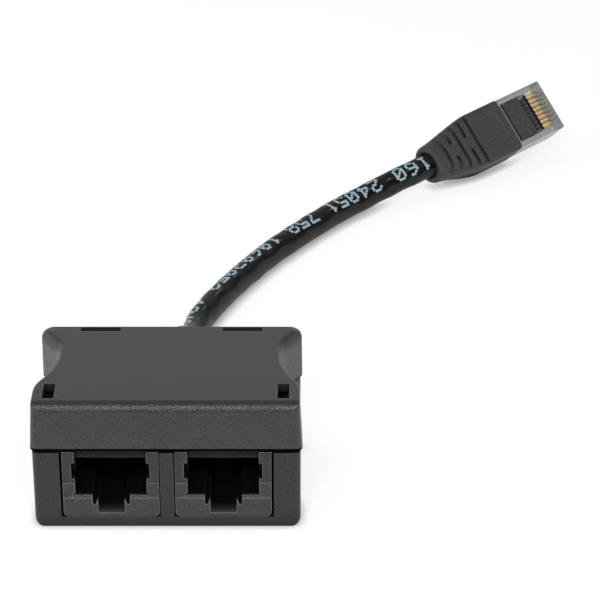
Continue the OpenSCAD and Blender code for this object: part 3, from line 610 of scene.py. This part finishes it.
def cable_jacket():
    """Smooth black jacket with the fine lengthwise drawing lines of its extrusion, and painted light that follows the
    pairs: a painted dark reflection band, a paler underside and small painted highlights.
    """
    colour = (0.0165, 0.016, 0.015)
    material, tree, shader = new_material("cable_jacket", Specular_IOR_Level=0.08)
    uv = add(tree, "UVMap", uv_map="UVMap").outputs[0]
    drawn = add(tree, "Mapping", {"Vector": uv, "Scale": (60, 90, 1)})
    lines = add(tree, "TexNoise", {"Vector": drawn.outputs[0], "Scale": 1.0, "Detail": 3.0})
    place = add(tree, "TexCoord").outputs["Object"]
    skin = add(tree, "TexNoise", {"Vector": place, "Scale": 2600.0, "Detail": 3.0, "Roughness": 0.6})
    height = add(tree, "Math", {0: lines.outputs["Fac"], 1: skin.outputs["Fac"]}, operation="ADD")
    bump = add(tree, "Bump", {"Height": height.outputs[0], "Distance": 0.000012, "Strength": 1.0})
    specks = place_group(tree, DUST, Amount=0.3)
    cable_painted_light = place_group(tree, cable_painted_light_group(), Turns=23.0)
    body = blend(tree, lines.outputs["Fac"], tone(colour, 0.8), tone(colour, 1.2))
    # Painted light on the jacket: a paler underside, a dark band of painted reflection and small painted highlights.
    body = blend(tree, cable_painted_light.outputs["PaintedPaleUnderside"], body, (0.026, 0.0245, 0.021, 1))
    body = blend(tree, cable_painted_light.outputs["PaintedDarkBand"], body, tone(colour, 0.25))
    body = blend(tree, cable_painted_light.outputs["PaintedHighlight"], body, tone(colour, 5))
    tree.links.new(blend(tree, specks.outputs["Mask"], body, (0.4, 0.4, 0.4, 1)), shader.inputs["Base Color"])
    shine = add(tree, "MapRange", {"Value": skin.outputs["Fac"], "To Min": 0.3, "To Max": 0.46})
    tree.links.new(shine.outputs[0], shader.inputs["Roughness"])
    tree.links.new(bump.outputs[0], shader.inputs["Normal"])
    return material


def printing_ink():
    """Pale ink, thinner in places."""
    material, tree, shader = new_material("printing_ink", Roughness=0.55, Specular_IOR_Level=0.3)
    place = add(tree, "TexCoord").outputs["Object"]
    thin = add(tree, "TexNoise", {"Vector": place, "Scale": 1500.0, "Detail": 3.0})
    tree.links.new(blend(tree, thin.outputs["Fac"], (0.25, 0.36, 0.44, 1), (0.55, 0.72, 0.8, 1)), shader.inputs["Base Color"])
    return material


def along_plug(tree, direction, start):
    """How far a place lies from the plug's origin along a direction of its own frame, over start; metres."""
    place = add(tree, "TexCoord").outputs["Object"]
    away = add(tree, "VectorMath", {0: place, 1: tuple(PLUG_POS * MM)}, operation="SUBTRACT")
    seen = add(tree, "VectorMath", {0: away.outputs[0], 1: tuple(PLUG_TURN @ direction)}, operation="DOT_PRODUCT")
    return add(tree, "Math", {0: seen.outputs["Value"], 1: start * MM}, operation="SUBTRACT").outputs[0]


def clear_plastic():
    """Clear moulded plastic gone a little milky, with faint flow lines and a soft skin, and a painted shadow in a band
    between the strain bar and the contacts. The ribs between the contacts are tinted gold, a painted reflection of
    them."""
    pale = (0.45, 0.46, 0.44, 1)
    material, tree, shader = new_material("clear_plastic", Transmission_Weight=0.65, IOR=1.45, Metallic=0.0)
    place = add(tree, "TexCoord").outputs["Object"]
    flow = add(tree, "TexNoise", {"Vector": place, "Scale": 320.0, "Detail": 2.0, "Distortion": 0.6})
    bump = add(tree, "Bump", {"Height": flow.outputs["Fac"], "Distance": 0.00006, "Strength": 0.6})
    shine = add(tree, "MapRange", {"Value": flow.outputs["Fac"], "To Min": 0.16, "To Max": 0.34})
    # A painted shadow: a dark band across the contact face between the strain bar and the contacts.
    off = add(tree, "Math", {0: along_plug(tree, [1, 0, 0], 7.75)}, operation="ABSOLUTE")
    painted_shadow_band = add(tree, "MapRange", {"Value": off.outputs[0], "From Min": 0.0006, "From Max": 0.0003})
    aside = add(tree, "Math", {0: along_plug(tree, [0, 1, 0], 0)}, operation="ABSOLUTE")
    inside = add(tree, "MapRange", {"Value": aside.outputs[0], "From Min": 0.0046, "From Max": 0.0043})
    top = add(tree, "MapRange", {"Value": along_plug(tree, [0, 0, 1], 0), "From Min": -0.001, "From Max": 0.0})
    painted_shadow_band = add(tree, "Math", {0: painted_shadow_band.outputs[0], 1: inside.outputs[0]}, operation="MULTIPLY")
    painted_shadow_band = add(tree, "Math", {0: painted_shadow_band.outputs[0], 1: top.outputs[0]}, operation="MULTIPLY")
    # A painted reflection: a gold tint on the ribs between the contacts.
    ahead = add(tree, "Math", {0: along_plug(tree, [1, 0, 0], 9.1)}, operation="ABSOLUTE")
    painted_gold_reflection = add(tree, "MapRange", {"Value": ahead.outputs[0], "From Min": 0.0011, "From Max": 0.0007})
    painted_gold_reflection = add(tree, "Math", {0: painted_gold_reflection.outputs[0], 1: inside.outputs[0]}, operation="MULTIPLY")
    painted_gold_reflection = add(tree, "Math", {0: painted_gold_reflection.outputs[0], 1: top.outputs[0]}, operation="MULTIPLY")
    milky = blend(tree, flow.outputs["Fac"], pale, tone(pale[:3], 0.88))
    milky = blend(tree, painted_gold_reflection.outputs[0], milky, (1.0, 0.72, 0.4, 1))
    tree.links.new(blend(tree, painted_shadow_band.outputs[0], milky, (0.004, 0.003, 0.002, 1)), shader.inputs["Base Color"])
    tree.links.new(shine.outputs[0], shader.inputs["Roughness"])
    tree.links.new(bump.outputs[0], shader.inputs["Normal"])
    return material


def gold_plate():
    """Gold plating over nickel with fine rolling lines."""
    material, tree, shader = new_material("contact_gold", Metallic=0.2)
    place = add(tree, "TexCoord").outputs["Object"]
    fine = add(tree, "TexNoise", {"Vector": place, "Scale": 3200.0, "Detail": 2.0})
    bump = add(tree, "Bump", {"Height": fine.outputs["Fac"], "Distance": 0.000008, "Strength": 1.0})
    tree.links.new(blend(tree, fine.outputs["Fac"], (0.95, 0.62, 0.26, 1), (1.0, 0.78, 0.42, 1)), shader.inputs["Base Color"])
    shine = add(tree, "MapRange", {"Value": fine.outputs["Fac"], "To Min": 0.18, "To Max": 0.34})
    tree.links.new(shine.outputs[0], shader.inputs["Roughness"])
    tree.links.new(bump.outputs[0], shader.inputs["Normal"])
    return material


def board_laminate():
    """Green solder mask with the weave of the glass cloth under it."""
    material, tree, shader = new_material("board_laminate", Specular_IOR_Level=0.5)
    place = add(tree, "TexCoord").outputs["Object"]
    weave = add(tree, "TexBrick", {"Vector": place, "Scale": 1800.0, "Mortar Size": 0.08, "Color1": (1, 1, 1, 1),
                                  "Color2": (0.7, 0.7, 0.7, 1), "Mortar": (0, 0, 0, 1)})
    bump = add(tree, "Bump", {"Height": weave.outputs["Fac"], "Distance": 0.00001, "Strength": 1.0})
    tree.links.new(blend(tree, weave.outputs["Fac"], (0.012, 0.10, 0.035, 1), (0.02, 0.15, 0.05, 1)), shader.inputs["Base Color"])
    shine = add(tree, "MapRange", {"Value": weave.outputs["Fac"], "To Min": 0.3, "To Max": 0.42})
    tree.links.new(shine.outputs[0], shader.inputs["Roughness"])
    tree.links.new(bump.outputs[0], shader.inputs["Normal"])
    return material


def wire_insulation(name, colour, stripe):
    """Insulation of one wire of a pair: plain, or pale with a coloured stripe that winds round it."""
    material, tree, shader = new_material(name, Specular_IOR_Level=0.4)
    place = add(tree, "TexCoord").outputs["Object"]
    fine = add(tree, "TexNoise", {"Vector": place, "Scale": 1800.0, "Detail": 3.0})
    bands = add(tree, "TexWave", {"Vector": place, "Scale": 330.0, "Distortion": 0.4}, bands_direction="DIAGONAL")
    edge = add(tree, "MapRange", {"Value": bands.outputs["Fac"], "From Min": 0.55, "From Max": 0.6})
    body = blend(tree, edge.outputs[0], colour + (1,), stripe + (1,))
    body = blend(tree, fine.outputs["Fac"], body, tone(colour, 0.85))
    hollow = place_group(tree, HOLLOW, Reach=0.003)
    # Deep in hollows the insulation is painted dark: painted shade.
    tree.links.new(blend(tree, hollow.outputs["Open"], tone(colour, 0.06), body), shader.inputs["Base Color"])
    shine = add(tree, "MapRange", {"Value": fine.outputs["Fac"], "To Min": 0.3, "To Max": 0.45})
    tree.links.new(shine.outputs[0], shader.inputs["Roughness"])
    return material


# ---------------------------------------------------------------- finish of the solids


def finish_solid(name, material, sharp=35, edge=0, swell=0):
    """A solid's own mesh gets its triangles joined into flat faces and its shading evened out, and with edge its edges
    are cut back and with swell its faces pushed out by so many millimetres; the mesh itself stays as it was built."""
    piece = nodes[name]
    mesh = piece.data
    if "custom_normal" in mesh.attributes:
        mesh.attributes.remove(mesh.attributes["custom_normal"])
    mesh.polygons.foreach_set("use_smooth", np.ones(len(mesh.polygons), bool))
    piece.modifiers.new("join", "WELD").merge_threshold = 1e-6
    flat = piece.modifiers.new("flat_faces", "DECIMATE")
    flat.decimate_type, flat.angle_limit = "DISSOLVE", np.radians(0.5)
    if edge:
        bevel = piece.modifiers.new("edges", "BEVEL")
        bevel.width, bevel.segments = edge * MM, 2
        bevel.limit_method, bevel.angle_limit = "ANGLE", np.radians(sharp)
        bevel.use_clamp_overlap = True
        bevel.harden_normals = True
        if swell:
            plump = piece.modifiers.new("plump", "DISPLACE")
            plump.strength, plump.mid_level = swell * MM, 0
    else:
        piece.modifiers.new("crisp", "EDGE_SPLIT").split_angle = np.radians(sharp)
    piece.modifiers.new("shading", "WEIGHTED_NORMAL").keep_sharp = True
    paint(piece, material)
    return piece


def paint(piece, material):
    piece.data.materials.clear()
    piece.data.materials.append(material)


# ---------------------------------------------------------------- the scene

make_camera()
make_world(0.42, 0.83, 0.8)
softbox("key", (0.02, -0.57, 0.54), (0.02, 0.03, 0), 0.5, 0.14, 4.6, (0.93, 0.97, 1))
softbox("left", (-0.6, 0.1, 0.5), (0.02, 0.05, 0), 0.4, 0.4, 1.2)
make_floor(0.3, 0.76, 0.0022)

JACKET = cable_jacket()
cable_path = cable_centreline()
cable = tube("cable_jacket", cable_path, jacket_radius, 48)
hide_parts("cable")
paint(cable, JACKET)
cable_print = print_on(cable_path)
paint(cable_print, printing_ink())

boot = grid_piece("ribbed_boot", at_plug(boot_points()), wrap_rows=True)
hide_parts("boot")
paint(boot, moulded_plastic("boot_rubber", (0.05, 0.049, 0.047), 0.5, 0.15, 0.00028, 0.00003, 2, edge=0.1, reach=0.0025))

WIRES = [
    ("white_orange", (0.75, 0.72, 0.65), (0.85, 0.25, 0.02)), ("orange", (0.85, 0.25, 0.02), (0.8, 0.22, 0.02)),
    ("white_green", (0.72, 0.74, 0.68), (0.05, 0.4, 0.08)), ("blue", (0.03, 0.12, 0.55), (0.03, 0.1, 0.5)),
    ("white_blue", (0.7, 0.73, 0.78), (0.03, 0.12, 0.55)), ("green", (0.05, 0.4, 0.08), (0.04, 0.36, 0.07)),
    ("white_brown", (0.74, 0.7, 0.64), (0.22, 0.09, 0.03)), ("brown", (0.22, 0.09, 0.03), (0.2, 0.08, 0.03)),
]
GOLD = gold_plate()
insulation = [wire_insulation("insulation_" + name, colour, stripe) for name, colour, stripe in WIRES]
for k in range(1, 9):
    finish_solid(f"board_wire_{k}", insulation[k - 1], 50)
    finish_solid(f"plug_wire_{k}", insulation[k - 1], 50)
    finish_solid(f"plug_contact_{k}", GOLD, edge=0.07, swell=0.08)
    finish_solid(f"left_contact_{k}", GOLD, 50)
    finish_solid(f"right_contact_{k}", GOLD, 50)

HOUSING = moulded_plastic("housing_plastic", (0.0265, 0.0265, 0.0261), 0.3, 0.23, 0.00024, 0.00004, reach=0.007)
LID = moulded_plastic("lid_plastic", (0.0345, 0.034, 0.033), 0.27, 0.36, 0.00024, 0.00006, reach=0.009,
                      shaded=("Z", 0.01515, 0.01505, 1))
# The jack's edges and chamfers get a strong painted highlight.
JACK = moulded_plastic("jack_plastic", (0.043, 0.043, 0.042), 0.32, 0.18, 0.00025, 0.00003, 7, edge=0.1,
                       shaded=("Y", -0.01355, -0.0119, 0.74))
INSERT = moulded_plastic("insert_plastic", (0.1, 0.1, 0.1), 0.3, 0.5, 0.0006, 0.00004, edge=0.08, reach=0.0006)
finish_solid("base", HOUSING)
finish_solid("lid", LID)
for side in ("left", "right"):
    finish_solid(side + "_jack_body", JACK)
    finish_solid(side + "_jack_insert", INSERT)
finish_solid("circuit_board", board_laminate())
finish_solid("cable_tie", moulded_plastic("tie_nylon", (0.02, 0.02, 0.02), 0.4, 0.5, 0.0004, 0.000006))
finish_solid("plug_body", clear_plastic(), edge=0.12)
finish_solid("strain_bar", moulded_plastic("strain_bar", (0.05, 0.05, 0.05), 0.42, 0.2, 0.0004, 0.000008))
